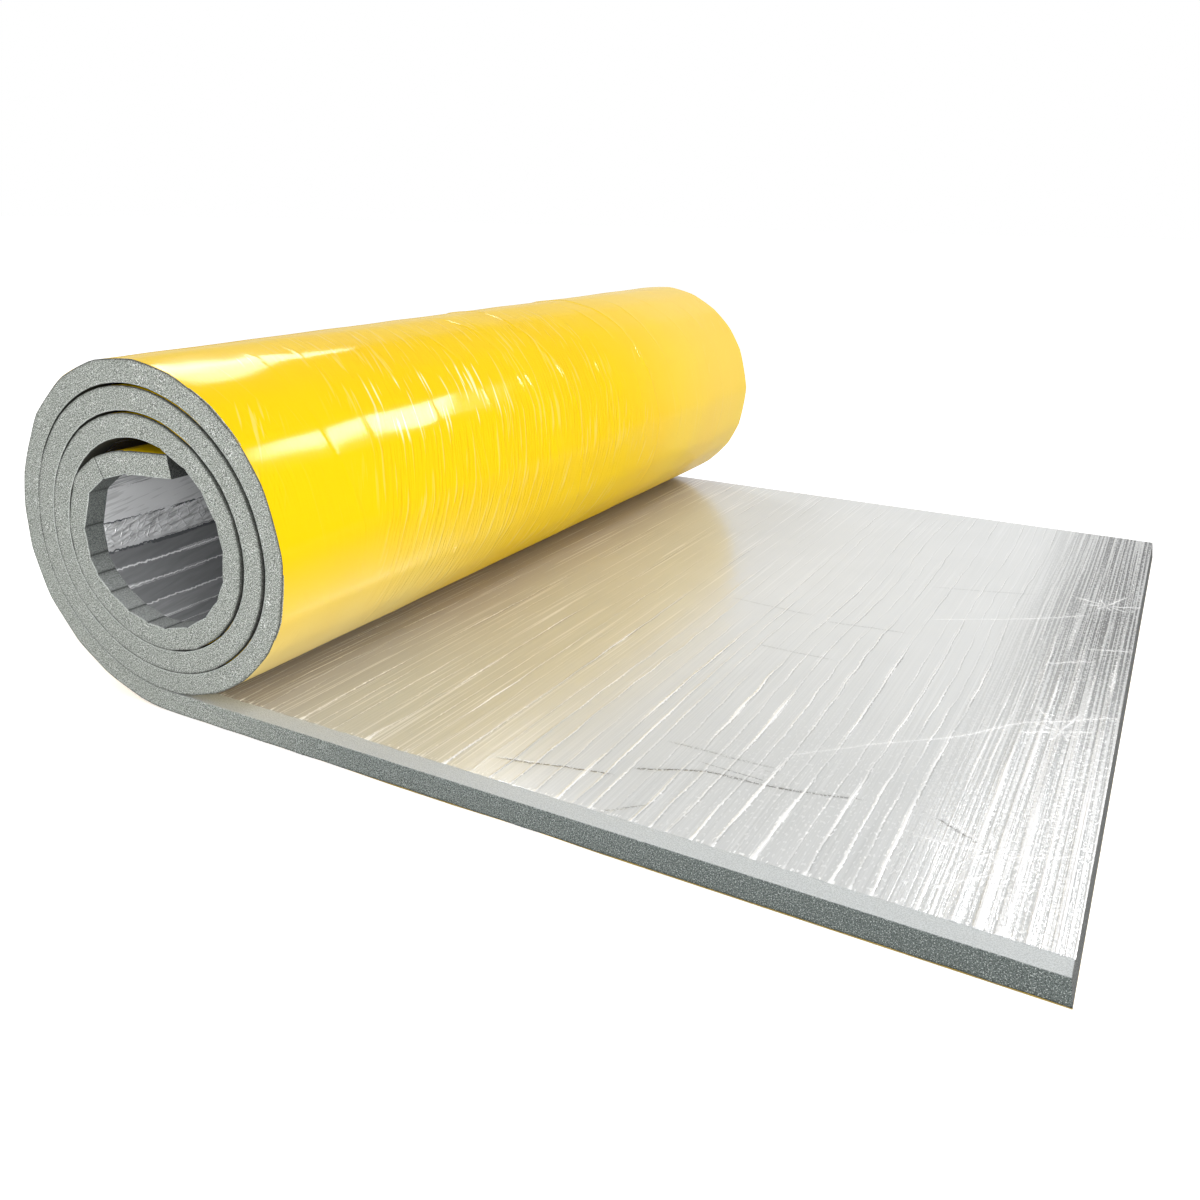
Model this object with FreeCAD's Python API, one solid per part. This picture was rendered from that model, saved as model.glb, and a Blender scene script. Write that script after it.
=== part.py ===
"""Foil-faced, self-adhesive acoustic foam sheet, partly unrolled.

One long strip of three bonded layers: an aluminium foil on top, closed-cell foam in the middle and a
release liner underneath. It lies flat at its free end and winds up into a slack roll at the other,
where its inner end has sprung away from the turns as a flap across the bore.

All sizes are in millimetres. X runs along the strip, Y across its width and Z up. The origin is on
the floor, below the middle of the whole sheet. The section is one path on the foil side of the sheet,
made of a straight run and tangent bends, and a depth is counted from that side towards the liner.
"""
import FreeCAD, Part
import math
import os

# The stock
sheet_width = 1000.0
foil_thickness = 0.3
foam_thickness = 19.4
liner_thickness = 0.3
bare_margin = 19.0        # strip along the near edge where the foil leaves the foam bare
unrolled_length = 748.0   # from the free cut end to below the roll's middle
cut_lean = 3.5            # how far the knife cut of the free end leans over the thickness

# The roll's bore, measured on the foil side of its innermost turn
whole_turns = 3
bore_left = 82.0          # from the roll's middle to the bore's left wall
bore_right = 89.5         # from the roll's middle to the bore's right wall
bore_height = 133.0       # from the bore's floor up to the flap, at the roll's middle
left_level = 64.0         # height of the leftmost point over the bore's floor
right_level = 80.0        # height of the rightmost point over the bore's floor

# Air between one turn and the next
gap_below = 0.3
gap_left = 0.5
gap_above = 2.0
gap_right = 3.0

# The flap, angles in degrees
flap_gap = 11.0           # air between the flap and the turn over it, at the roll's middle
flap_slope = 3.0          # rise of the flap towards its tip
rise_angle = 36.0         # bend from the bore's left wall up to the crease
crease_angle = 14.0
crease_radius = 12.0
tip_gap = 0.6             # air between the flap's tip and the turn over it

EIGHTH = 45.0             # degrees of one bend of a turn

thickness = foil_thickness + foam_thickness + liner_thickness
bore_floor = thickness + whole_turns * (thickness + gap_below)
left_height = bore_floor + left_level
right_height = bore_floor + right_level


def direction(heading):
    """The unit vector at a heading in the XZ plane, in degrees from +X towards +Z."""
    angle = math.radians(heading)
    return FreeCAD.Vector(math.cos(angle), 0, math.sin(angle))


def after_bend(start, heading, radius, degrees):
    """The point that a bend to the right, begun at start, reaches after so many degrees."""
    centre = start + direction(heading - 90) * radius
    return centre + direction(heading + 90 - degrees) * radius


def quarter(reach, climb):
    """Radii of the two bends that join a level tangent to an upright one.

    The quarter spans reach sideways and climb in height, and each bend takes half of its right angle.
    The level tangent's radius comes first.
    """
    far = math.sin(math.radians(EIGHTH))
    near = 1 - far
    level = (reach * far - climb * near) / (far**2 - near**2)
    upright = (climb * far - reach * near) / (far**2 - near**2)
    return level, upright


def extremes(turn):
    """Left reach, right reach, top and floor of a turn's foil side, the outermost turn being 1."""
    inside = whole_turns - turn
    left = bore_left + (inside + 1) * (thickness + gap_left)
    right = bore_right + inside * (thickness + gap_right)
    top = bore_floor + bore_height + thickness + flap_gap + inside * (thickness + gap_above)
    floor = thickness + (turn - 1) * (thickness + gap_below)
    return left, right, top, floor


def turn_bends(turn):
    """The bends, as radius and degrees, from one turn's floor round to the floor of the next."""
    left, right, top, floor = extremes(turn)
    next_floor = extremes(turn + 1)[3]
    radii = [
        *quarter(left, left_height - floor),
        *reversed(quarter(left, top - left_height)),
        *quarter(right, top - right_height),
        *reversed(quarter(right, right_height - next_floor)),
    ]
    return [(radius, EIGHTH) for radius in radii]


def inner_bends():
    """The bends from the bore's floor, up its left wall and through the crease, before the easing one.

    The wall rises concentric with the turn outside it, gap_left away.
    """
    left, _, top, _ = extremes(whole_turns)
    wall = quarter(left, top - left_height)[1] - thickness - gap_left
    floor_radii = quarter(bore_left, left_level)
    return [(radius, EIGHTH) for radius in floor_radii] + [(wall, rise_angle), (crease_radius, crease_angle)]


def follow(start, heading, depth, bends):
    """The point and heading that a path at a depth reaches after its bends."""
    for radius, degrees in bends:
        start = after_bend(start, heading, radius + depth, degrees)
        heading -= degrees
    return start, heading


def easing_bend(bends):
    """The bend that brings the flap from the crease to its slope, bore_height over the bore's floor."""
    crease_end, heading = follow(FreeCAD.Vector(0, 0, thickness), 180.0, 0.0, bends)
    slope = math.tan(math.radians(flap_slope))
    step = direction(heading - 90) - direction(flap_slope - 90)
    missing = bore_floor + bore_height - crease_end.z + crease_end.x * slope
    return missing / (step.z - step.x * slope), (heading - flap_slope) % 360


def flap_length(bends):
    """Length of the straight flap, whose outer face ends tip_gap short of the turn over it."""
    root, heading = follow(FreeCAD.Vector(0, 0, 0), 180.0, thickness, bends)
    _, right, top, _ = extremes(whole_turns)
    crown = quarter(right, top - right_height)[0]
    offset = root - FreeCAD.Vector(0, 0, top - crown)
    along = offset.dot(direction(heading))
    return math.sqrt(along**2 - offset.dot(offset) + (crown - tip_gap)**2) - along


def face_edges(depth, bends, straight):
    """The edges of the section at one depth, from the free end's cut to the flap's tip."""
    start = FreeCAD.Vector(unrolled_length - cut_lean * (1 - depth / thickness), 0, thickness - depth)
    point = FreeCAD.Vector(0, 0, thickness - depth)
    heading = 180.0
    edges = [Part.LineSegment(start, point).toShape()]
    for radius, degrees in bends:
        middle = after_bend(point, heading, radius + depth, degrees / 2)
        end = after_bend(point, heading, radius + depth, degrees)
        edges.append(Part.Arc(point, middle, end).toShape())
        point = end
        heading -= degrees
    tip = point + direction(heading) * straight
    edges.append(Part.LineSegment(point, tip).toShape())
    return edges, start, tip


def layer(upper_depth, lower_depth, near_y, far_y, bends, straight):
    """One layer of the sheet between two depths, from near_y to far_y across the width."""
    upper, upper_start, upper_tip = face_edges(upper_depth, bends, straight)
    lower, lower_start, lower_tip = face_edges(lower_depth, bends, straight)
    cut = Part.LineSegment(lower_start, upper_start).toShape()
    tip = Part.LineSegment(upper_tip, lower_tip).toShape()
    section = Part.Face(Part.Wire(upper + [tip] + lower[::-1] + [cut]))
    solid = section.extrude(FreeCAD.Vector(0, far_y - near_y, 0))
    leftmost = -extremes(1)[0] - thickness
    solid.translate(FreeCAD.Vector(-(leftmost + unrolled_length) / 2, near_y, 0))
    return solid


strip_bends = [bend for turn in range(1, whole_turns + 1) for bend in turn_bends(turn)] + inner_bends()
strip_bends.append(easing_bend(strip_bends))
flap = flap_length(strip_bends)
near_edge = -sheet_width / 2
far_edge = sheet_width / 2
foam_bottom = foil_thickness + foam_thickness

nodes = {
    "foil_facing": layer(0.0, foil_thickness, near_edge + bare_margin, far_edge, strip_bends, flap),
    "foam_sheet": layer(foil_thickness, foam_bottom, near_edge, far_edge, strip_bends, flap),
    "release_liner": layer(foam_bottom, thickness, near_edge, far_edge, strip_bends, flap),
}

os.makedirs("parts", exist_ok=True)
for name, shape in nodes.items():
    shape.exportStep(f"parts/{name}.step")
    box = shape.BoundBox
    print(name, shape.isValid(), len(shape.Solids), round(shape.Volume), box)
strip_length = unrolled_length + sum(radius * math.radians(degrees) for radius, degrees in strip_bends) + flap
print("strip length on the foil side", round(strip_length), "flap", round(flap), strip_bends[-1])
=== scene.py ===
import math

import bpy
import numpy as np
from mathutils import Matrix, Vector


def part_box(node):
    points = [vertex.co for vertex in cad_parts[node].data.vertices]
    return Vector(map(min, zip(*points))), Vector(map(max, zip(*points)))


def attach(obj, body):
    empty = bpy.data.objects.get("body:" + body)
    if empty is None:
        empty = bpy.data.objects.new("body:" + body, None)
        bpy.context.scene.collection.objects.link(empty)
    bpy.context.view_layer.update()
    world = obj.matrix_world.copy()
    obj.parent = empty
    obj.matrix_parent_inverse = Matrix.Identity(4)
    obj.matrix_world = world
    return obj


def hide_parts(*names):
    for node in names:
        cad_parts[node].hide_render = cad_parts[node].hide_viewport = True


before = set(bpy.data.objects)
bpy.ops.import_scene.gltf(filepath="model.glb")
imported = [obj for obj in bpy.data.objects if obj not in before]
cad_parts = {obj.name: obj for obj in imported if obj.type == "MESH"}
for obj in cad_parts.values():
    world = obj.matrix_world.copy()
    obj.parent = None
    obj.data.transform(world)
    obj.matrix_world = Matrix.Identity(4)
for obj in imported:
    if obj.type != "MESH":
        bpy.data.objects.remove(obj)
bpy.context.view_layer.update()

# Looks of the partly unrolled, foil-faced acoustic foam sheet: its foam core, the aluminium foil on the
# inner side of the roll and the yellow release liner on the outer side, with a floor, lights and a camera.
#
# A place on the sheet is given by s, the length along the foil side from the free cut, by y across the
# width, and by depth from the foil side towards the liner. Lengths are metres in the frame's own axes.

MM = 0.001
SEED = 20

# The stock, as the frame has it
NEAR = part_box("foam_sheet")[0][1]
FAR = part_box("foam_sheet")[1][1]
FOIL_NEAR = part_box("foil_facing")[0][1]
WIDTH = FAR - NEAR
FOIL = 0.3 * MM
LINER = 0.3 * MM
THICKNESS = 20.0 * MM
FOAM_OUT = THICKNESS - LINER
UNROLLED = 748.0 * MM
CUT_LEAN = 3.5 * MM

# The roll, as the frame has it
WHOLE_TURNS = 3
BORE_LEFT = 82.0 * MM
BORE_RIGHT = 89.5 * MM
BORE_HEIGHT = 133.0 * MM
LEFT_LEVEL = 64.0 * MM
RIGHT_LEVEL = 80.0 * MM
GAP_BELOW = 0.3 * MM
GAP_LEFT = 0.5 * MM
GAP_ABOVE = 2.0 * MM
GAP_RIGHT = 3.0 * MM
FLAP_GAP = 11.0 * MM
FLAP_SLOPE = 3.0
RISE_ANGLE = 36.0
CREASE_ANGLE = 14.0
CREASE_RADIUS = 12.0 * MM
EASE_RADIUS = 88.06 * MM     # of the bend between the crease and the straight flap
FLAP_LENGTH = 52.8 * MM
BORE_FLOOR = THICKNESS + WHOLE_TURNS * (THICKNESS + GAP_BELOW)

# How the real roll departs from an even winding
FAR_RISE = 12.0 * MM         # the slacker far end stands this much higher
FAR_NARROWING = 10.0 * MM    # and is this much narrower
NEAR_SHARE = 0.17            # share of both that shows at the near end already

# Buckles of the bore's wall and flap, as lengths along the foil side from the free cut
BORE_KINKS = np.array([2640, 2668, 2690, 2716, 2738, 2765, 2786, 2812, 2840, 2871, 2893, 2917, 2942,
                       2962, 2979, 3006, 3042, 3068, 3097, 3154]) * MM
BORE_START = 2600.0 * MM
BORE_CREASES = BORE_KINKS[4:-1]              # the kinks where the foil is creased too
FLATTENED_RADIUS = 60.0 * MM                 # a tighter bend is flattened no more than one of this radius
DARK_KINKS = np.array([2979, 3006]) * MM     # these two fold inwards
CRACK = 3068.0 * MM          # the flap's foam is cracked through at this kink
# The bore's brighter facets, and how much painted light each takes for the light it reflects.
LIT_FACETS = {14: 0.50, 15: 0.75, 16: 0.35, 17: 0.40, 18: 0.45}    # by the kink where each one starts

# Creases across the flat part's foil, from the free cut
STRONG_CREASES = np.array([15, 46, 60, 75, 125, 167, 202, 232, 267, 297, 360, 460, 538, 610]) * MM
WEAK_CREASES = np.array([31, 88, 97, 108, 138, 150, 181, 216, 249, 282, 315, 333, 346, 379, 400, 418, 436,
                         482, 497, 515, 556, 574, 592, 628, 643, 655, 668, 680, 692, 703, 716, 730]) * MM
BOLD_END = 80.0 * MM         # creases up to here from the free cut stand higher and wider
RIB_PITCH = 4.4 * MM
RIB_START = CUT_LEAN + 1 * MM
RIB_END = 110.0 * MM         # the ribs stand out up to here from the free cut

# Columns of the foil's points beside the line of a crease
BESIDE_STRONG = np.array([-3.2, -1.8, -0.8, -0.35, 0, 0.35, 0.8, 1.8, 3.2]) * MM
BESIDE_WEAK = np.array([-2.0, -1.0, -0.4, 0, 0.4, 1.0, 2.0]) * MM

# Handling folds across the creases: s and distance from the near edge of both ends, in millimetres, and
# the strength of their painted highlight, below 0 for painted shade
FOLDS = np.array([(422, 51, 349, 70, -1), (325, 92, 280, 112, -1), (280, 112, 243, 115, -1),
                  (243, 115, 208, 120, -1), (208, 120, 165, 131, -0.8), (321, 23, 303, 40, -0.6),
                  (320, 143, 240, 144, -0.5), (330, 378, 263, 377, -0.35), (289, 477, 220, 486, -0.4),
                  (103, 131, 67, 111, -1), (400, 492, 320, 488, -0.3), (214, 655, 121, 685, -0.3),
                  (230, 175, 185, 217, 0.5), (185, 217, 119, 275, 0.7), (119, 275, 75, 331, 0.9),
                  (75, 331, 11, 378, 1), (89, 54, 60, 83, 1), (62, 107, 17, 133, 1),
                  (39, 542, 2, 556, 1), (71, 482, 41, 505, 1), (192, 547, 120, 591, 0.7),
                  (120, 591, 60, 640, 0.9)])

# Stars of crinkles: s and distance from the near edge, in millimetres, and turn in radians
STARS = np.array([(38, 690, 0.0), (47, 329, 0.9), (65, 110, 2.1)])
STAR_REACH = 60.0            # millimetres

# Creases round the liner: distance from the near edge, first and last s, height
RING_CREASES = np.array([(92, 1230, 1420, 0.35), (141, 1200, 1500, 0.3), (236, 1240, 1470, 0.35),
                         (322, 1200, 1480, 0.4), (398, 1180, 1470, 0.5), (415, 1230, 1400, 0.4),
                         (480, 1120, 1480, 0.9), (560, 1240, 1450, 0.35), (640, 1180, 1420, 0.4),
                         (680, 1120, 1450, 0.9), (745, 1200, 1430, 0.5), (833, 1220, 1420, 0.35),
                         (905, 1180, 1440, 0.3)]) * MM

# Stretches of the flat part where the liner's near edge shows beyond the foam's
PROUD_EDGES = np.array([(0, 320), (410, 505)]) * MM

STEP = 0.5 * MM              # spacing of the table that the winding is looked up in


def quarter(reach, climb):
    """Two 45 degree bends, as radius and degrees, from a level to an upright tangent, which together go
    reach sideways and climb up."""
    far = math.sin(math.radians(45))
    near = 1 - far
    level = (reach * far - climb * near) / (far**2 - near**2)
    upright = (climb * far - reach * near) / (far**2 - near**2)
    return [(level, 45.0), (upright, 45.0)]


def extremes(turn):
    """Left reach, right reach, top and floor of a turn's foil side, the outermost turn being 1."""
    inside = WHOLE_TURNS - turn
    left = BORE_LEFT + (inside + 1) * (THICKNESS + GAP_LEFT)
    right = BORE_RIGHT + inside * (THICKNESS + GAP_RIGHT)
    top = BORE_FLOOR + BORE_HEIGHT + THICKNESS + FLAP_GAP + inside * (THICKNESS + GAP_ABOVE)
    floor = THICKNESS + (turn - 1) * (THICKNESS + GAP_BELOW)
    return left, right, top, floor


def strip_bends():
    """All bends of the strip, as radius and degrees, from the roll's outer floor to the flap."""
    bends = []
    left_z = BORE_FLOOR + LEFT_LEVEL
    right_z = BORE_FLOOR + RIGHT_LEVEL
    for turn in range(1, WHOLE_TURNS + 1):
        left, right, top, floor = extremes(turn)
        bends += quarter(left, left_z - floor) + quarter(left, top - left_z)[::-1]
        bends += quarter(right, top - right_z) + quarter(right, right_z - extremes(turn + 1)[3])[::-1]
    wall = quarter(left, top - left_z)[1][0] - THICKNESS - GAP_LEFT
    ease = 90 - RISE_ANGLE - CREASE_ANGLE - FLAP_SLOPE
    return bends + quarter(BORE_LEFT, LEFT_LEVEL) + [
        (wall, RISE_ANGLE), (CREASE_RADIUS, CREASE_ANGLE), (EASE_RADIUS, ease)]


def winding():
    """Table of s, X, Z, heading and curvature along the foil side, with the s of each bend's end.

    Over each step the heading falls by the step times the curvature. The step's chord lies at the mean
    heading and is shorter than its arc by the sine of half that turn over half that turn.
    """
    bends = np.array(strip_bends())
    lengths = np.concatenate([[UNROLLED], bends[:, 0] * np.radians(bends[:, 1]), [FLAP_LENGTH]])
    ends = np.concatenate([[0], np.cumsum(lengths)])
    s = np.unique(np.concatenate([np.arange(0, ends[-1], STEP), ends]))
    step = np.diff(s)
    span = np.searchsorted(ends, s[:-1] + step / 2) - 1
    curvature = np.concatenate([[0], 1 / bends[:, 0], [0]])[span]
    turned = step * curvature
    heading = math.pi - np.concatenate([[0], np.cumsum(turned)])
    mean = heading[:-1] - turned / 2
    chord = step * np.sinc(turned / 2 / math.pi)
    left, _, _, _ = extremes(1)
    x = (UNROLLED + left + THICKNESS) / 2 + np.concatenate([[0], np.cumsum(chord * np.cos(mean))])
    z = THICKNESS + np.concatenate([[0], np.cumsum(chord * np.sin(mean))])
    return s, x, z, heading, np.append(curvature, 0), ends


PATH_S, PATH_X, PATH_Z, PATH_HEADING, PATH_CURVE, BEND_ENDS = winding()
ROLL_START = BEND_ENDS[1]
TURN_2 = BEND_ENDS[9]
STRIP_END = BEND_ENDS[-1]
ROLL_LEFT = PATH_X.min() - THICKNESS
ROLL_WIDTH = extremes(1)[0] + extremes(1)[1] + 2 * THICKNESS
ROLL_TOP = extremes(1)[2] + THICKNESS


def smoothstep(value, low, high):
    """0 below low, 1 above high, and 3 t squared less 2 t cubed between them."""
    t = np.clip((value - low) / (high - low), 0, 1)
    return t * t * (3 - 2 * t)


def ripple(name, a, b, length_a, length_b, count=7):
    """Smooth noise, mostly between -1 and 1: cosines of a and b, of random phase and random wavelength
    round the two lengths, added up. The name picks the random numbers."""
    draw = np.random.default_rng([SEED, *name.encode()])
    wave_a = draw.uniform(0.6, 1.6, count) / length_a * draw.choice([-1, 1], count)
    wave_b = draw.uniform(0.6, 1.6, count) / length_b
    phase = draw.uniform(0, 2 * math.pi, count)
    a, b = np.broadcast_arrays(a, b)
    turns = a[..., None] * wave_a + b[..., None] * wave_b
    return np.cos(2 * math.pi * turns + phase).sum(axis=-1) / math.sqrt(count)


def drift(s, y):
    """How far a crease across the sheet wanders along it: smooth noise of a few millimetres, which all
    three layers share."""
    return 2.2 * MM * ripple("drift", s, y, 0.30, 0.55, 5)


def sagitta(s, kinks, curvature):
    """Height of the arc over the straight chord between the two kinks round s: half the curvature times
    the distances to the two kinks."""
    after = np.clip(np.searchsorted(kinks, s), 1, len(kinks) - 1)
    low, high = kinks[after - 1], kinks[after]
    inside = (s > kinks[0]) & (s < kinks[-1])
    return np.where(inside, curvature / 2 * (s - low) * (high - s), 0)


def outer_kinks():
    """Soft buckles round the outermost turn, 30 to 55 mm apart at random."""
    draw = np.random.default_rng(SEED)
    return ROLL_START + np.cumsum(draw.uniform(30 * MM, 55 * MM, 24))


OUTER_KINKS = outer_kinks()


def buckled(s, y, depth):
    """Depth after buckling, which takes off the height of the arc over its chord. In the bore the sheet
    lies straight between kinks, its inner side fully and its outer side partly, and the outermost
    turn's outer side is a little flattened."""
    along = s + drift(s, y)
    curvature = np.minimum(np.interp(s, PATH_S, PATH_CURVE), 1 / FLATTENED_RADIUS)
    inner = sagitta(along, BORE_KINKS, curvature) * smoothstep(s, BORE_START, BORE_START + 40 * MM)
    outer = sagitta(along, OUTER_KINKS, curvature) * (1 - smoothstep(s, TURN_2 - 60 * MM, TURN_2))
    through = depth / THICKNESS
    return depth - inner * (1 - 0.45 * through) - 0.6 * outer * np.clip(through, 0, 1)


def place(s, y, depth):
    """Points of the sheet: the foil side's point at s, moved by depth along the outward normal. On the
    roll each point then moves up and to the left, in proportion to its height over the sheet below and
    its distance from the roll's left, and more towards the far end, where the winding is slacker."""
    s, y, depth = np.broadcast_arrays(s, y, depth)
    heading = np.interp(s, PATH_S, PATH_HEADING)
    x = np.interp(s, PATH_S, PATH_X) - np.sin(heading) * depth
    z = np.interp(s, PATH_S, PATH_Z) + np.cos(heading) * depth
    share = NEAR_SHARE + (1 - NEAR_SHARE) * (y - NEAR) / WIDTH
    share = share * smoothstep(s, ROLL_START, ROLL_START + 120 * MM)
    raised = np.clip((z - THICKNESS) / (ROLL_TOP - THICKNESS), 0, 1)
    x = x - FAR_NARROWING * share * (x - ROLL_LEFT) / ROLL_WIDTH
    z = z + FAR_RISE * share * raised
    return np.stack([x, y, z], axis=-1)


def gap_outside(s):
    """Air between the sheet at s and the turn outside it. Where both head the same way, it is the
    distance between their foil sides along the common normal, less the thickness."""
    heading = np.interp(s, PATH_S, PATH_HEADING)
    other = np.interp(-(heading + 2 * math.pi), -PATH_HEADING, PATH_S)
    across = np.interp(other, PATH_S, PATH_X) - np.interp(s, PATH_S, PATH_X)
    up = np.interp(other, PATH_S, PATH_Z) - np.interp(s, PATH_S, PATH_Z)
    return -np.sin(heading) * across + np.cos(heading) * up - THICKNESS


def from_kink(s):
    """Distance along the sheet from s to the nearest of the bore's kinks but the last."""
    return np.abs(s[..., None] - BORE_KINKS[:-1]).min(axis=-1)


def spaced(start, stop, pitch):
    """Evenly spaced values from start to stop, about a pitch apart."""
    return np.linspace(start, stop, max(2, round((stop - start) / pitch) + 1))


def beside(centres, offsets):
    """Every centre with every offset added, as one row of values."""
    return (centres[:, None] + offsets[None, :]).ravel()


def chosen(pick, *grids):
    """From each grid, the values at the picked numbers along its last axis."""
    return [np.take_along_axis(grid, pick[..., None], axis=-1)[..., 0] for grid in grids]


def ridge(distance, width):
    """A rounded ridge of height 1: one over one plus the fourth power of the distance in widths."""
    return 1 / (1 + (distance / width) ** 4)


def add_piece(name, points, flat_places, faces, **shares):
    """A mesh object at the origin from arrays of points and of their places on the flat sheet, in metres,
    which become its UV map. Each share is an array of one number a point, kept as an attribute. Edges
    sharper than 60 degrees stay sharp."""
    mesh = bpy.data.meshes.new(name)
    mesh.from_pydata(points.reshape(-1, 3).tolist(), [], faces)
    mesh.polygons.foreach_set("use_smooth", np.ones(len(mesh.polygons), bool))
    corners = np.zeros(len(mesh.loops), np.int32)
    mesh.loops.foreach_get("vertex_index", corners)
    layer = mesh.uv_layers.new(name="sheet_metres")
    layer.data.foreach_set("uv", flat_places.reshape(-1, 2)[corners].astype(np.float32).ravel())
    for share, values in shares.items():
        attribute = mesh.attributes.new(share, "FLOAT", "POINT")
        attribute.data.foreach_set("value", values.astype(np.float32).ravel())
    mesh.set_sharp_from_angle(angle=math.radians(60))
    piece = bpy.data.objects.new(name, mesh)
    bpy.context.scene.collection.objects.link(piece)
    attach(piece, "root")
    return piece


def tube_faces(rings, around):
    """Quads of a tube of vertex rings, each ring joined to the next all the way round."""
    number = np.arange(rings * around).reshape(rings, around)
    beyond = np.roll(number, -1, axis=1)
    quads = np.stack([number[:-1], beyond[:-1], beyond[1:], number[1:]], axis=-1)
    return quads.reshape(-1, 4).tolist()


def film(name, front, back, **shares):
    """A closed film from two grids of s, y and depth, one for each side: at every station its ring runs
    over the front's rows and returns over the back's, and the first and last rings are capped. The
    shares are grids on the front, and 0 on the back."""
    s, y, depth = (np.concatenate([one, other[:, ::-1]], axis=1) for one, other in zip(front, back))
    rings, around = s.shape
    numbers = list(range(rings * around))
    faces = tube_faces(rings, around) + [numbers[:around], numbers[-around:][::-1]]
    zeros = np.zeros_like(back[0])
    whole = {share: np.concatenate([values, zeros], axis=1) for share, values in shares.items()}
    return add_piece(name, place(s, y, depth), np.stack([s, y], axis=-1), faces, **whole)


def between(fixed, infill, clear):
    """The fixed values, and of the infill those that keep clear of every fixed one, in order."""
    kept = infill[np.abs(infill[:, None] - fixed).min(axis=1) > clear]
    return np.unique(np.concatenate([fixed, kept]))


# Stations that the three layers share, so that they bend at the same places
OUTER_STATIONS = spaced(ROLL_START, TURN_2, 7 * MM)
HIDDEN_STATIONS = spaced(TURN_2, BORE_START, 13 * MM)


class Value:
    """The value that comes out of a node's socket. Arithmetic on it adds Math nodes to its finish."""

    def __init__(self, finish, socket):
        self.finish = finish
        self.socket = socket

    def math(self, operation, *others):
        """The result of a Math node on this value and the others."""
        return self.finish.node("Math", {"operation": operation}, [self, *others])

    def __add__(self, other):
        return self.math("ADD", other)

    def __sub__(self, other):
        return self.math("SUBTRACT", other)

    def __rsub__(self, other):
        return self.finish.node("Math", {"operation": "SUBTRACT"}, [other, self])

    def __mul__(self, other):
        return self.math("MULTIPLY", other)

    def __truediv__(self, other):
        return self.math("DIVIDE", other)

    def __rtruediv__(self, other):
        return self.finish.node("Math", {"operation": "DIVIDE"}, [other, self])

    def __pow__(self, other):
        return self.math("POWER", other)

    __radd__ = __add__
    __rmul__ = __mul__


class Nodes:
    """A node tree, with one method that adds any node."""

    def __init__(self, tree):
        self.tree = tree

    def node(self, kind, settings=None, inputs=(), output=0):
        """Adds a node, sets it up, feeds its inputs by number or name, and gives one output's value."""
        node = self.tree.nodes.new("ShaderNode" + kind)
        for key, setting in (settings or {}).items():
            setattr(node, key, setting)
        pairs = inputs.items() if isinstance(inputs, dict) else enumerate(inputs)
        for key, value in pairs:
            self.feed(node.inputs[key], value)
        return Value(self, node.outputs[output])

    def feed(self, socket, value):
        """Links a value to a socket, or sets the socket to a number, a vector or a colour."""
        if isinstance(value, Value):
            self.tree.links.new(value.socket, socket)
        else:
            socket.default_value = value

    def part(self, vector, axis):
        """One part of a vector, 0 to 2."""
        return self.node("SeparateXYZ", {}, [vector], output=axis)

    def step(self, value, low, high):
        """0 where value is at low, 1 where it is at high, and a smooth step between them."""
        return self.node("MapRange", {"interpolation_type": "SMOOTHSTEP"}, [value, low, high, 0.0, 1.0])


class Finish(Nodes):
    """A material and its node tree."""

    def __init__(self, name):
        self.material = bpy.data.materials.new(name)
        self.material.use_nodes = True
        super().__init__(self.material.node_tree)
        self.shader = self.tree.nodes["Principled BSDF"]

    def sheet(self):
        """The place on the flat sheet: s and y in metres."""
        return self.node("UVMap", {"uv_map": "sheet_metres"})

    def attribute(self, name):
        """One of the shares that the piece's points carry."""
        return self.node("Attribute", {"attribute_name": name}, output=2)

    def mix(self, factor, first, second):
        """The colour between two colours."""
        return self.node("Mix", {"data_type": "RGBA"}, {0: factor, 6: first, 7: second}, output=2)

    def stretched(self, vector, scale, turn=0.0):
        """A vector turned about Z by an angle in degrees and then scaled axis by axis."""
        turned = self.node("VectorRotate", {"rotation_type": "Z_AXIS"},
                           {"Vector": vector, "Angle": math.radians(turn)}) if turn else vector
        return self.node("VectorMath", {"operation": "MULTIPLY"}, [turned, scale])

    def noise(self, vector, scale=1.0, detail=2.0, roughness=0.5):
        """Smooth noise about 0.5, whose blobs are one over the scale across."""
        return self.node("TexNoise", {}, {"Vector": vector, "Scale": scale, "Detail": detail,
                                          "Roughness": roughness})

    def within(self, value, low, high, soft):
        """1 between low and high, fading to 0 over soft outside them."""
        return self.step(value, low - soft, low) * self.step(value, high + soft, high)

    def spokes(self, across, along, count, width):
        """Lines that spread from a centre, of uneven length: each one over one plus the square of the
        distance from its line in widths."""
        radius = (across ** 2 + along ** 2) ** 0.5
        turns = along.math("ARCTAN2", across) * (count / (2 * math.pi))
        number = turns.math("FLOOR")
        odds = self.node("TexWhiteNoise", {"noise_dimensions": "1D"}, {"W": number})
        aside = (turns - number - 0.5) * radius * (2 * math.pi / count / width)
        end = odds * (0.7 * STAR_REACH) + 0.3 * STAR_REACH
        lines = 1 / (aside ** 2 + 1) * self.step(radius, end, end * 0.6)
        return lines * (self.step(radius, 2, 12) * 0.6 + 0.4)

    def bump(self, height):
        """A normal bent by a height in millimetres."""
        return self.node("Bump", {}, {"Height": height, "Distance": MM, "Strength": 1.0})

    def put_on(self, piece, slot, **sockets):
        """Sets the shader's own sockets and puts the material on a piece."""
        for name, value in sockets.items():
            self.feed(self.shader.inputs[name.replace("_", " ")], value)
        piece.data.materials.clear()
        piece.data.materials.append(self.material)


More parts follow.
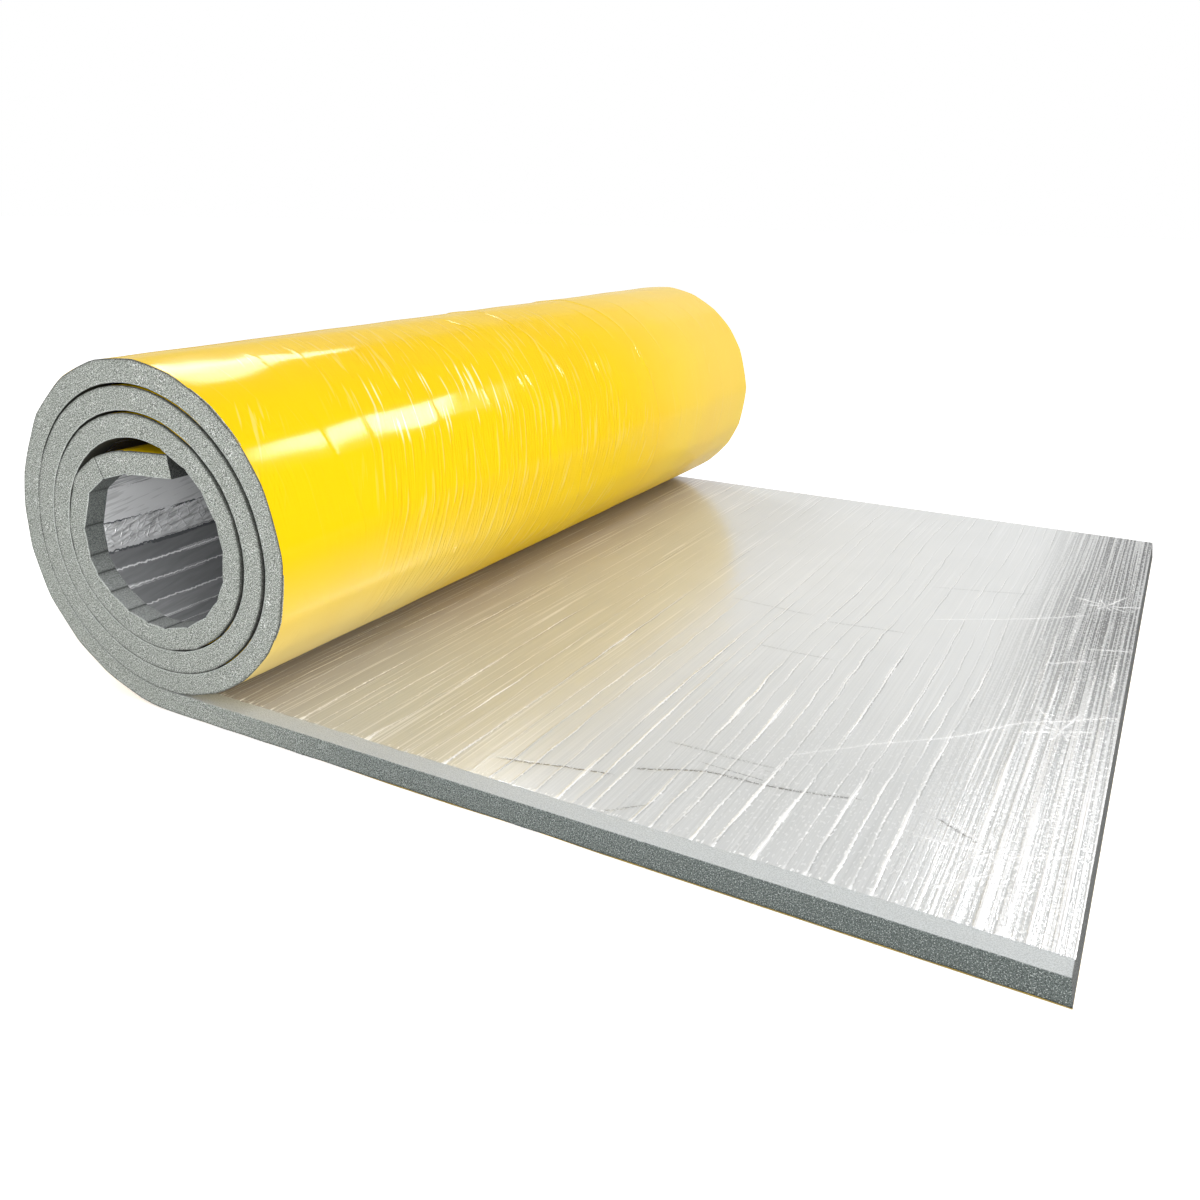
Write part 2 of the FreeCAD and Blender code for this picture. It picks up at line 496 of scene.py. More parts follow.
def foam_ring():
    """The foam's section across the width, as rows of y and depth: a rectangle whose corners are quarter
    circles, from the far edge along the foil side to the near edge, down it, back along the liner side
    and up the far edge. Near the near edge the rows lie close, where the margin and the rim change."""
    corner = 0.7 * MM
    first_row = corner + 0.35 * MM
    angle = np.radians([0, 30, 60, 90])
    rise = corner - corner * np.cos(angle)
    fall = corner - corner * np.sin(angle)
    near_face = [FOIL + first_row, *np.array([3, 5.5, 8, 10, 12, 14.5, 17]) * MM, FOAM_OUT - first_row]
    far_face = [FOAM_OUT - first_row, THICKNESS / 2, FOIL + first_row]
    inland = spaced(NEAR + 60 * MM, FAR - 60 * MM, 55 * MM)
    by_margin = np.array([30, 4, 1.5, -1, -6, -12, -16.5]) * MM + FOIL_NEAR
    foil_side = np.concatenate([[FAR - first_row], inland[::-1], by_margin, [NEAR + first_row]])
    by_rim = np.array([1.7, 2.4, 3.1, 8, 30]) * MM + NEAR
    liner_side = np.concatenate([[NEAR + first_row], by_rim, inland, [FAR - first_row]])
    y = np.concatenate([foil_side, NEAR + fall, np.full(len(near_face), NEAR), NEAR + rise,
                        liner_side, FAR - fall, np.full(len(far_face), FAR), FAR - rise])
    depth = np.concatenate([np.full(len(foil_side), FOIL), FOIL + rise, near_face, FOAM_OUT - fall,
                            np.full(len(liner_side), FOAM_OUT), FOAM_OUT - rise, far_face, FOIL + fall])
    return y, depth


def foam_core():
    """The foam: its rounded section at every station of the winding, buckled and placed.

    The bare margin stands level with the foil. Near the near edge the liner side swells until the snug
    turns touch. The knife cut has a slight ripple, the free end's cut leans, and the bore's kinks are
    shallow grooves.
    """
    kinks = beside(BORE_KINKS[:-1], np.array([-3.5, -1.3, 0, 1.3, 3.5]) * MM)
    bore = between(kinks[kinks > BORE_START + 30 * MM], spaced(BORE_START, STRIP_END, 6 * MM), 3 * MM)
    flat = spaced(0, ROLL_START, 22 * MM)
    ends = [0.8 * MM, STRIP_END - 0.8 * MM]
    stations = np.unique(np.concatenate([ends, flat, OUTER_STATIONS, HIDDEN_STATIONS, bore]))
    ring_y, ring_depth = foam_ring()
    s, y = np.meshgrid(stations, ring_y, indexing="ij")
    depth = np.broadcast_to(ring_depth, s.shape)
    foil_side = smoothstep(depth, 2 * MM, 0.5 * MM)
    liner_side = smoothstep(depth, FOAM_OUT - 1.5 * MM, FOAM_OUT - 0.1 * MM)
    margin = smoothstep(y, FOIL_NEAR + 1 * MM, FOIL_NEAR - 0.8 * MM)
    gap = gap_outside(s) + 0.55 * sagitta(s + drift(s, y), BORE_KINKS, np.interp(s, PATH_S, PATH_CURVE))
    touching = np.where(s > TURN_2, gap * smoothstep(gap, 1.1 * MM, 0.6 * MM), 0)
    swell = (LINER + touching) * smoothstep(y, NEAR + 3.0 * MM, NEAR + 1.8 * MM)
    groove = 0.7 * MM * ridge(from_kink(s + drift(s, y)), 1.5 * MM)
    groove = groove * smoothstep(s, BORE_START, BORE_START + 60 * MM)
    depth = depth - (FOIL - 0.05 * MM) * margin * foil_side + groove * foil_side
    depth = depth + 0.97 * swell * liner_side
    ripple_cut = 0.22 * MM * ripple("cut", s, depth, 0.045, 0.02) * smoothstep(y, NEAR + 1.5 * MM, NEAR)
    depth = buckled(s, y, depth)
    lean = (1 - depth / THICKNESS) * CUT_LEAN
    points = place(s + lean * np.clip(1 - s / flat[1], 0, 1), y + ripple_cut, depth)
    rings, around = s.shape
    faces = tube_faces(rings, around)
    faces += [list(range(around))[::-1], list(range((rings - 1) * around, rings * around))]
    # Shares for the finish: the skin, the mask of a painted highlight along the cut's inner edge in the
    # outer turn, and masks of painted shade on the rims between turns, the flat part, both end cuts, the
    # bore's kinks and inside the roll.
    skin = foil_side * smoothstep(y, NEAR + 0.1 * MM, NEAR + 0.9 * MM)
    rim_reach = np.where(s < TURN_2 - 40 * MM, 1.6 * MM, 12 * MM)
    rim = liner_side * smoothstep(y, NEAR + rim_reach, NEAR + rim_reach / 3)
    # Mask of a painted highlight along the cut's rounded inner edge in the outer turn.
    lip = smoothstep(np.broadcast_to(ring_depth, s.shape), 1.3 * MM, 0.5 * MM)
    lip = lip * smoothstep(y, NEAR + 0.7 * MM, NEAR + 0.2 * MM) * smoothstep(s, ROLL_START, TURN_2)
    piece = add_piece("foam_core", points, np.stack([s, y], axis=-1), faces, skin=skin, rim=rim, lip=lip,
                      rolled=smoothstep(s, ROLL_START - 250 * MM, ROLL_START),
                      end_cut=1.0 * (s == 0), tip_cut=1.0 * (s == STRIP_END),
                      kink=foil_side * ridge(from_kink(s), 1.0 * MM),
                      inside=smoothstep(s, ROLL_START + 100 * MM, ROLL_START + 200 * MM))
    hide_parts("foam_sheet")
    return piece


def foam_finish(piece):
    """Grey foam: a fine two-tone speckle of cells, with bright flecks on the knife cut and a painted
    highlight along the cut's rounded inner edge in the outer turn. Painted shade makes the flat part's cut
    darker than the roll's and darker towards the free end, and the free end's cut darker too. The bare
    margin is pale, the skin's own colour with a painted sheen. Inside the roll the margin takes painted
    shade, lighter on the bore's low wall and dark most of all high up. Darkest, in painted shade, are the
    wall's kinks, the gap over the flap, the crack through the flap, the cut of its tip and the rims where
    the turns meet."""
    finish = Finish("closed_cell_foam")
    where = finish.node("TexCoord", output=3)
    s = finish.part(finish.sheet(), 0)
    skin = finish.attribute("skin")
    rolled = finish.attribute("rolled")
    cells = finish.noise(where, 960.0, 1.0, 0.6)
    grain = finish.noise(where, 1800.0, 1.0, 0.5)
    cloud = finish.noise(where, 28.0, 2.0, 0.5)
    tone = finish.step(cells * 0.5 + grain * 0.5, 0.40, 0.60)
    fleck = finish.step(finish.noise(where, 1150.0, 0.0), 0.63, 0.70)
    cut = finish.mix(tone, (0.078, 0.086, 0.074, 1), (0.540, 0.572, 0.520, 1))
    cut = finish.mix(fleck, cut, (0.95, 0.97, 0.95, 1))
    cut = finish.mix(cloud * 0.25, cut, (0.34, 0.375, 0.35, 1))
    # The flat part's cut, painted darker than the roll's and darker towards the free end, as shade.
    flat = finish.mix(finish.step(s, 0.0, 0.70), (0.165, 0.190, 0.182, 1), (0.310, 0.345, 0.330, 1))
    flat = finish.mix(tone, (0.062, 0.074, 0.070, 1), flat)
    flat = finish.mix(fleck * 0.55, flat, (0.62, 0.66, 0.64, 1))
    cut = finish.mix(rolled, flat, cut)
    # Painted shade in the crack through the flap.
    crack = finish.within(s, CRACK - 0.4 * MM, CRACK + 0.4 * MM, 0.5 * MM)
    cut = finish.mix(crack * 0.7, cut, (0.05, 0.055, 0.05, 1))
    # A painted highlight along the cut's rounded inner edge in the outer turn.
    cut = finish.mix(finish.attribute("lip") * 0.55, cut, (0.70, 0.74, 0.71, 1))
    # The bare margin is pale: the skin's own colour with a painted sheen.
    top = finish.mix(tone, (0.47, 0.495, 0.495, 1), (0.64, 0.665, 0.67, 1))
    # Inside the roll the margin is painted in shade: a lit copy on the bore's low wall, a shaded copy
    # elsewhere, darkest in the gap over the flap and at the wall's kinks.
    low_wall = finish.step(s, 3.00, 2.91) * finish.step(s, 2.45, 2.60)
    shaded = finish.mix(tone, (0.085, 0.095, 0.090, 1), (0.21, 0.225, 0.215, 1))
    lit_wall = finish.mix(tone, (0.26, 0.275, 0.265, 1), (0.50, 0.52, 0.51, 1))
    wall = finish.mix(low_wall, shaded, lit_wall)
    over_flap_shadow = finish.step(s, 2.66, 2.62)
    wall = finish.mix(over_flap_shadow * 0.9, wall, (0.035, 0.037, 0.030, 1))
    wall = finish.mix(finish.attribute("kink") * 0.85, wall, (0.03, 0.032, 0.03, 1))
    top = finish.mix(finish.attribute("inside"), top, wall)
    colour = finish.mix(skin, cut, top)
    # Painted shade on the free end's cut and on the cut of the flap's tip.
    end_cut = finish.mix(tone, (0.055, 0.058, 0.055, 1), (0.20, 0.205, 0.20, 1))
    colour = finish.mix(finish.attribute("end_cut"), colour, end_cut)
    tip_cut = finish.mix(tone, (0.012, 0.013, 0.013, 1), (0.075, 0.080, 0.078, 1))
    colour = finish.mix(finish.attribute("tip_cut"), colour, tip_cut)
    # Painted shade in the narrow gaps where the turns meet, along the liner side's near edge.
    colour = finish.mix(finish.attribute("rim") * 0.8, colour, (0.022, 0.022, 0.018, 1))
    height = (cells * 0.35 + grain * 0.18) * (1 - skin * 0.7)
    finish.put_on(piece, "foam", Base_Color=colour, Roughness=0.88, Specular_IOR_Level=0.2,
                  Normal=finish.bump(height))


def crease_height(s, y, centres, heights, width, name):
    """Height of creases across the sheet at their centres along s: ridges whose height swells and fades
    along y and differs from crease to crease."""
    fade = 0.62 + 0.38 * ripple(name, centres, y[..., None], 0.011, 0.30, 5)
    return (heights * np.clip(fade, 0.08, 1.3) * ridge(s[..., None] - centres, width)).sum(axis=-1)


def nearest_crease(s, y, centres, heights, reach):
    """Signed distance in millimetres along s to the nearest crease, up to 20, and how strong the crease
    is there: from 0 to about 1.3 at the crease, fading to 0 at its reach."""
    pick = np.abs(s[..., None] - centres).argmin(axis=-1)
    aside = s - centres[pick]
    fade = 0.75 + 0.45 * ripple("strength", centres[pick], y, 0.011, 0.22, 5)
    kept = smoothstep(np.abs(aside), reach[pick], 0.6 * reach[pick])
    return np.clip(aside / MM, -20, 20), heights[pick] * np.clip(fade, 0.3, 1.3) * kept


def nearest_fold(s, y):
    """Signed distance in millimetres to the line of the nearest handling fold, and the strength of its
    painted highlight there, below 0 of its painted shade. A fold fades past its two ends and 14 mm to its
    sides."""
    start, end = FOLDS[:, 0:2] * MM, FOLDS[:, 2:4] * MM
    run = end - start
    length = np.hypot(*run.T)
    offset_s = s[..., None] - start[:, 0]
    offset_y = (y - NEAR)[..., None] - start[:, 1]
    along = (offset_s * run[:, 0] + offset_y * run[:, 1]) / length
    aside = (offset_y * run[:, 0] - offset_s * run[:, 1]) / length
    past = np.maximum(np.maximum(-along, along - length), 0)
    away = np.hypot(aside, past)
    pick = away.argmin(axis=-1)
    aside, past, away = chosen(pick, aside, past, away)
    kept = smoothstep(past, 9 * MM, 0) * smoothstep(away, 14 * MM, 9 * MM)
    return np.clip(aside / MM, -20, 20), FOLDS[pick, 4] * kept


def nearest_star(s, y):
    """Place round the centre of the nearest star of crinkles, in millimetres and turned by the star's own
    angle, and 1 within the star's reach of it."""
    across = (s[..., None] - STARS[:, 0] * MM) / MM
    along = ((y - NEAR)[..., None] - STARS[:, 1] * MM) / MM
    pick = np.hypot(across, along).argmin(axis=-1)
    across, along = chosen(pick, across, along)
    near = smoothstep(np.hypot(across, along), STAR_REACH + 25, STAR_REACH + 5)
    cosine = np.cos(STARS[pick, 2])
    sine = np.sin(STARS[pick, 2])
    return across * cosine - along * sine, across * sine + along * cosine, near


def facet_light(s):
    """How much painted light the facet of the bore at s takes, from 0 to 1, for the light it reflects: one
    number from kink to kink, mostly dark.
    """
    facet_lights = np.random.default_rng(SEED).uniform(0.08, 0.22, len(BORE_KINKS))
    facet_lights[list(LIT_FACETS)] = list(LIT_FACETS.values())
    return facet_lights[np.clip(np.searchsorted(BORE_KINKS, s, side="right") - 1, 0, len(facet_lights) - 1)]


def flat_creases():
    """Places along s of the creases across the flat part's foil, and their strengths: 1 for the strong
    ones and a random share for the weak."""
    uneven = np.random.default_rng(SEED + 1).uniform(0.25, 0.85, len(WEAK_CREASES))
    strengths = np.concatenate([np.ones(len(STRONG_CREASES)), uneven])
    return np.concatenate([STRONG_CREASES, WEAK_CREASES]), strengths


def foil_stations():
    """The foil's stations along s: columns beside every crease, four to a rib and, where these leave
    room, evenly spaced ones."""
    flat = np.concatenate([beside(STRONG_CREASES, BESIDE_STRONG), beside(WEAK_CREASES, BESIDE_WEAK)])
    flat = between(flat, np.arange(RIB_START, RIB_END, RIB_PITCH / 4), 0.5 * MM)
    flat = between(flat, spaced(RIB_END, ROLL_START, 12 * MM), 4 * MM)
    flat = flat[(flat > CUT_LEAN) & (flat < ROLL_START)]
    bore = between(beside(BORE_CREASES, BESIDE_STRONG), spaced(BORE_START, STRIP_END, 8 * MM), 3 * MM)
    return np.unique(np.concatenate([[0], flat, OUTER_STATIONS[::2], HIDDEN_STATIONS[::2], bore]))


def foil_relief(s, y, closeness, rib_wave):
    """Height of the foil's front: the ribs, the creases of the flat part, which are lower further from the
    near edge, those at the bore's kinks and a slight pucker. It is level at both ends and between the
    flat part and the bore."""
    rib = 0.14 * MM * rib_wave * smoothstep(s, RIB_END, RIB_END - 60 * MM)
    rib = rib * (0.6 + 0.4 * ripple("ribs", s, y, 0.02, 0.2))
    creases, strengths = flat_creases()
    bold = creases < BOLD_END
    heights = strengths * np.where(bold, 1.2, 0.25) * MM
    widths = np.where(bold, 2.3, 0.6) * MM
    height = crease_height(s, y, creases, heights, widths, "flat") * closeness + rib
    bore_heights = np.where(np.isin(BORE_CREASES, DARK_KINKS), -0.2, 0.9) * MM
    height = height + crease_height(s, y, BORE_CREASES, bore_heights, 1.1 * MM, "bore")
    height = height + 0.03 * MM * ripple("pucker", s, y, 0.05, 0.3)
    height = height * smoothstep(s, CUT_LEAN, CUT_LEAN + 2 * MM)
    height = height * smoothstep(s, STRIP_END, STRIP_END - 2 * MM)
    shown = smoothstep(s, ROLL_START + 50 * MM, ROLL_START)
    shown = shown + smoothstep(s, BORE_START, BORE_START + 60 * MM)
    return np.maximum(height * shown, -0.12 * MM)


def foil_wander(s, y):
    """How far the foil's points shift along s: by the drift that the layers share, and before the bore by
    four fifths of it and a finer ripple. The two ends keep their places."""
    held = smoothstep(s, 0, 170 * MM) * smoothstep(s, STRIP_END, STRIP_END - 60 * MM)
    flat = 0.8 * drift(s, y) + 0.5 * MM * ripple("meander", s, y, 0.035, 0.09, 6)
    return np.where(s > BORE_START - 100 * MM, drift(s, y), flat) * held


def foil_laminate():
    """The foil: a closed film whose front carries the relief. Columns of points follow each crease, and
    all wander together along it. Its shares tell the finish where the nearest crease, fold and star are."""
    stations = foil_stations()
    from_edge = np.array([0, 0.8, 2, 4, 8, 14, 22]) * MM
    rows = np.concatenate([FOIL_NEAR + from_edge, spaced(FOIL_NEAR + 31 * MM, FAR, 10 * MM)])
    s, y = np.meshgrid(stations, rows, indexing="ij")
    closeness = 1 - 0.6 * smoothstep(y, NEAR + 150 * MM, NEAR + 750 * MM)
    pace = 0.6 * ripple("pace", s, y, 0.06, 0.5)
    rib_wave = np.cos(2 * math.pi * (s - RIB_START) / RIB_PITCH + pace) * (s < RIB_END)
    height = foil_relief(s, y, closeness, rib_wave)
    creases, strengths = flat_creases()
    creases = np.concatenate([creases, BORE_CREASES])
    strengths = np.concatenate([strengths, np.where(np.isin(BORE_CREASES, DARK_KINKS), -1.0, 1.0)])
    reach = np.where(np.abs(strengths) < 1, BESIDE_WEAK.max(), BESIDE_STRONG.max())
    distance, strength = nearest_crease(s, y, creases, strengths, reach)
    strength = strength * np.where(s < ROLL_START + 60 * MM, closeness, 1.0)
    fold_distance, fold_pale = nearest_fold(s, y)
    star_across, star_along, star_near = nearest_star(s, y)
    moved = np.maximum(s - foil_wander(s, y), CUT_LEAN)
    ragged = 0.4 * MM * ripple("ragged", moved, 0.0, 0.009, 1.0)
    ragged = ragged * smoothstep(y, FOIL_NEAR + 6 * MM, FOIL_NEAR)
    front = moved, y + ragged, buckled(moved, y, -height)
    back_rows = np.concatenate([FOIL_NEAR + from_edge[::3], spaced(FOIL_NEAR + 60 * MM, FAR, 55 * MM)])
    back_s, back_y = np.meshgrid(np.maximum(stations, CUT_LEAN), back_rows, indexing="ij")
    back = back_s, back_y, buckled(back_s, back_y, np.full_like(back_s, FOIL - 0.05 * MM))
    piece = film("foil_laminate", front, back, crease_distance=distance, crease_strength=strength,
                 fold_distance=fold_distance, fold_pale=fold_pale, star_across=star_across,
                 star_along=star_along, star_near=star_near, rib_wave=rib_wave, tone=facet_light(s))
    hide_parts("foil_facing")
    return piece


def foil_finish(piece):
    """Crinkled aluminium laminate over a scrim, with a fine hatch along the width. Its relief is painted in
    light
    and shade: pale threads in the hatch, pale creases that jitter and double, with dotted edges and painted
    shade on one side, pale and dark handling folds and stars of crinkles across them, coarse ribs and a
    pale corner at the cut end, painted shade towards the near edge, before the roll and where the foil is
    hidden in the roll, and facets in the bore painted dark or bright for the light they reflect, one of
    them finely crinkled with painted glints."""
    finish = Finish("creased_aluminium")
    where = finish.sheet()
    s = finish.part(where, 0)
    y = finish.part(where, 1)
    wobble = finish.noise(where, 14.0, 2.0)
    shift = finish.node("TexNoise", {}, {"Vector": where, "Scale": 20.0, "Detail": 2.0}, output=1)
    shaken = finish.node("VectorMath", {"operation": "MULTIPLY_ADD"}, [shift, (0.012, 0.012, 0), where])
    near_cut = finish.step(s, 0.15, 0.03)
    close = finish.step(y, NEAR + 0.62, NEAR + 0.06)
    in_bore = finish.step(s, 2.55, 2.65)
    crinkled = finish.within(s, DARK_KINKS[0] + 3 * MM, DARK_KINKS[1] - 3 * MM, 3 * MM)
    hatch = finish.noise(finish.stretched(where, (620.0, 3.0, 1.0)), 1.0, 1.0, 0.6)
    specks = finish.step(finish.noise(finish.stretched(where, (560.0, 210.0, 1.0)), 1.0, 0.0), 0.62, 0.70)
    grain = finish.noise(where, 520.0, 1.0, 0.6)
    dents = finish.noise(finish.stretched(where, (34.0, 14.0, 1.0)), 1.0, 2.0, 0.5)
    jitter = finish.noise(finish.stretched(where, (50.0, 200.0, 1.0)), 1.0, 2.0, 0.65) - 0.5

    # Creases, folds and stars, painted as highlights and shade
    aside = finish.attribute("crease_distance") + jitter * (in_bore * 3.0 + 2.0)
    aside = aside + (wobble - 0.5) * in_bore * 4.0
    strength = finish.attribute("crease_strength")
    width = strength * (close * 0.8 + near_cut * 0.5) * (1 - in_bore) + in_bore * 0.15 + 0.40
    crease = 1 / ((aside / width) ** 4 + 1) * strength
    double = (aside.math("ABSOLUTE") - 2.0) / 0.4
    doubled = 1 / (double ** 2 + 1) * finish.step(dents, 0.48, 0.56) * strength
    # Painted shade on one side of each crease.
    lee_shade = (aside + 1.2 + near_cut * 1.6) / (0.5 + near_cut * 0.6)
    lee_shade = 1 / (lee_shade ** 2 + 1) * strength * (1 - near_cut * 0.15)
    beside_crease = 1 / ((aside / 2.4) ** 4 + 1) * strength
    fold_aside = finish.attribute("fold_distance") + jitter * 3.0 + (wobble - 0.5) * 9.0
    fold = 1 / ((fold_aside / 0.9) ** 2 + 1) * finish.attribute("fold_pale")
    broken = finish.step(grain, 0.40, 0.50)
    # Pale folds are painted highlights, dark ones painted shade.
    pale_fold = fold.math("MAXIMUM", 0.0) * (broken * 0.6 + 0.4)
    dark_fold = (fold * -1).math("MAXIMUM", 0.0) * broken
    # Stars of crinkles, painted as pale spokes of highlight.
    stars = finish.spokes(finish.attribute("star_across") + jitter * 5.0,
                          finish.attribute("star_along") + (wobble - 0.5) * 16.0, 8, 0.8)
    stars = stars * finish.attribute("star_near")

    # Ribs, and where they and the other marks show
    beads = finish.noise(finish.stretched(where, (240.0, 380.0, 1.0)), 1.0, 0.0) - 0.5
    comb = finish.step(finish.attribute("rib_wave") * 0.5 + beads * 1.6 + (hatch - 0.5) * 4.5, -0.35, 0.45)
    # At the cut end the ribs away from the near edge are painted in light and shade, and the near corner
    # takes a painted highlight.
    far_cut = near_cut * finish.step(y, NEAR + 0.05, NEAR + 0.65)
    cut_corner_highlight = near_cut * finish.step(y, NEAR + 0.50, NEAR + 0.16)
    foil_edge = finish.step(y, FOIL_NEAR + 0.008, FOIL_NEAR + 0.001)
    open_part = finish.step(s, 0.52, 0.34)

    # The flat part's colour, with its painted highlights and shade
    # Painted highlights: the creases and their doubles, glints of specks, pale folds, stars, the scrim's
    # threads, the ribs of the cut end's corner and the foil's near edge.
    white = (crease + doubled * 0.6 + specks * beside_crease * 0.5) * (open_part * 0.25 + 0.75)
    scattered_glints = close ** 3 * finish.step(s, 0.36, 0.20) * 0.25 + near_cut * 0.3
    white = white + specks * scattered_glints + pale_fold * 0.9 + stars
    threads = finish.noise(finish.stretched(where, (340.0, 3.5, 1.0)), 1.0, 1.0, 0.6)
    white = white + finish.step(threads, 0.61, 0.66) * (0.38 - open_part * 0.27)
    white = white + cut_corner_highlight * comb * 0.75 + foil_edge * (beside_crease * 0.9 + specks * 0.5)
    white = (white * (1 - in_bore)).math("MINIMUM", 1.0)
    # Painted shade: random tone from the wobble and hatch, darker towards the near edge and off the open
    # part, darker again before the roll, for the reflection of the roll's shaded underside, and nearly
    # black where the foil lies hidden in the roll.
    shade_by_roll = finish.step(s, 0.56, 0.72)
    shade = (wobble - 0.5) * 0.3 + (hatch - 0.5) * (close * 0.6 + 0.4)
    shade = shade - close * 0.35 + open_part * 0.24 + 0.52
    colour = finish.mix(shade, (0.59, 0.605, 0.605, 1), (0.79, 0.805, 0.805, 1))
    colour = finish.mix(shade_by_roll * 0.75, colour, (0.44, 0.405, 0.43, 1))
    colour = finish.mix(finish.step(s, 0.90, 1.00) * 0.9, colour, (0.05, 0.048, 0.045, 1))
    # The cut end's ribs, painted in light and shade.
    ribs_light_and_shade = finish.mix(comb, (0.05, 0.053, 0.053, 1), (0.62, 0.63, 0.63, 1))
    colour = finish.mix(far_cut * 0.85, colour, ribs_light_and_shade)
    # Painted shade of the dark folds and of the crease sides, then the painted highlights.
    colour = finish.mix(dark_fold + lee_shade * 0.85, colour, (0.13, 0.125, 0.115, 1))
    colour = finish.mix(white, colour, (0.97, 0.975, 0.98, 1))

    # The bore's colour: facets painted dark or bright for the light they reflect, with painted glints and
    # streaks
    streak = finish.noise(finish.stretched(where, (160.0, 16.0, 1.0), 12.0), 1.0, 2.0, 0.7)
    glints = finish.noise(finish.stretched(where, (330.0, 50.0, 1.0), 14.0), 1.0, 2.0, 0.6)
    glint = crinkled * finish.step(glints, 0.52, 0.60)
    upper = finish.within(s, DARK_KINKS[1] + 2 * MM, 3.10, 2 * MM)
    # Each facet's painted light, with painted highlights on its creases and glints on the crinkled facet.
    bright = finish.attribute("tone") * (0.7 + streak * 1.7) + crease * 2.0 + doubled * 0.8 + glint
    # Painted light and shade in streaks high on the wall, and painted shade in the crinkles.
    painted_streaks = finish.step(streak, 0.52, 0.58) * 0.35 - finish.step(streak, 0.48, 0.40) * 0.25
    bright = bright + upper * painted_streaks
    bright = bright - crinkled * finish.step(glints, 0.46, 0.38) * 0.3
    wall = finish.mix(bright, (0.13, 0.136, 0.142, 1), (0.97, 0.98, 0.99, 1))
    colour = finish.mix(in_bore, colour, wall)

    # The fine relief
    shatter = finish.node("TexVoronoi", {"feature": "DISTANCE_TO_EDGE"},
                          {"Vector": finish.stretched(shaken, (210.0, 90.0, 1.0), 24.0), "Scale": 1.0})
    shattered = finish.step(shatter, 0.12, 0.0) * (near_cut * 0.15 + crinkled * 0.5)
    height = hatch * (0.03 + close * 0.02 + near_cut * 0.2 + in_bore * 0.2)
    height = height + comb * near_cut * 0.25 + grain * 0.04 + dents * 0.05
    height = height + crease * 0.12 + doubled * 0.06 + pale_fold * 0.3 - dark_fold * 0.2
    height = height + stars * 0.4 + streak * upper * 0.5
    finish.put_on(piece, "foil", Base_Color=colour, Metallic=(0.27 - open_part * 0.07) * (1 - white),
                  Roughness=0.16 + 0.12 * grain, Normal=finish.bump(height + shattered))


def liner_film():
    """The liner: a closed film with creases round the roll, whose rows of points follow the creases and
    sway with them. Its near edge lies a little back from the foam's, but shows beyond it on two stretches
    of the flat part. Inside the roll it lies further back, and least so at the tops of the turns."""
    rings = RING_CREASES[:, 0]
    offsets = np.array([-4.0, -1.8, -0.8, 0, 0.8, 1.8, 4.0]) * MM
    edges = np.array([0, 1, 4, 10]) * MM
    fixed = np.concatenate([edges, beside(rings, offsets), WIDTH - edges])
    rows = between(np.unique(fixed), spaced(0, WIDTH, 11 * MM), 4 * MM)
    flat = spaced(0, ROLL_START, 60 * MM)
    bore = spaced(BORE_START, STRIP_END, 12 * MM)
    stations = np.unique(np.concatenate([flat, OUTER_STATIONS, HIDDEN_STATIONS, bore]))
    s, row = np.meshgrid(stations, rows, indexing="ij")
    first, last, strength = RING_CREASES[:, 1], RING_CREASES[:, 2], RING_CREASES[:, 3]
    along = s[..., None]
    fade = smoothstep(along, first - 30 * MM, first + 30 * MM)
    fade = fade * smoothstep(along, last + 30 * MM, last - 30 * MM)
    swell = 0.7 + 0.3 * ripple("rings", rings, along, 0.02, 0.09, 5)
    height = (strength * fade * swell * ridge(row[..., None] - rings, 1.3 * MM)).sum(axis=-1)
    slack = 0.25 * MM * ripple("slack", s, row, 0.11, 0.16)
    height = height + slack * smoothstep(s, ROLL_START, ROLL_START + 300 * MM)
    height = height * smoothstep(s, TURN_2 - 30 * MM, TURN_2 - 90 * MM)
    sway = 3.5 * MM * ripple("sway", row, s, 0.25, 0.22, 4) * smoothstep(row, 0, 40 * MM)
    sway = sway * smoothstep(row, WIDTH, WIDTH - 40 * MM)
    proud = ((along >= PROUD_EDGES[:, 0]) & (along < PROUD_EDGES[:, 1])).any(axis=-1)
    crest = np.clip(np.cos(np.interp(s, PATH_S, PATH_HEADING)), 0, 1) ** 3
    hidden = smoothstep(s, TURN_2 - 70 * MM, TURN_2)
    back = np.where(proud, -0.7 * MM, 0.7 * MM) + (4.6 - 3.4 * crest) * MM * hidden
    y = NEAR + row + sway + back * smoothstep(row, 12 * MM, 0)
    outer = buckled(s, y, THICKNESS + np.maximum(height, -0.1 * MM))
    inner = buckled(s, y, np.full_like(s, FOAM_OUT + 0.05 * MM))
    piece = film("liner_film", (s, y, inner), (s, y, outer))
    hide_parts("release_liner")
    return piece


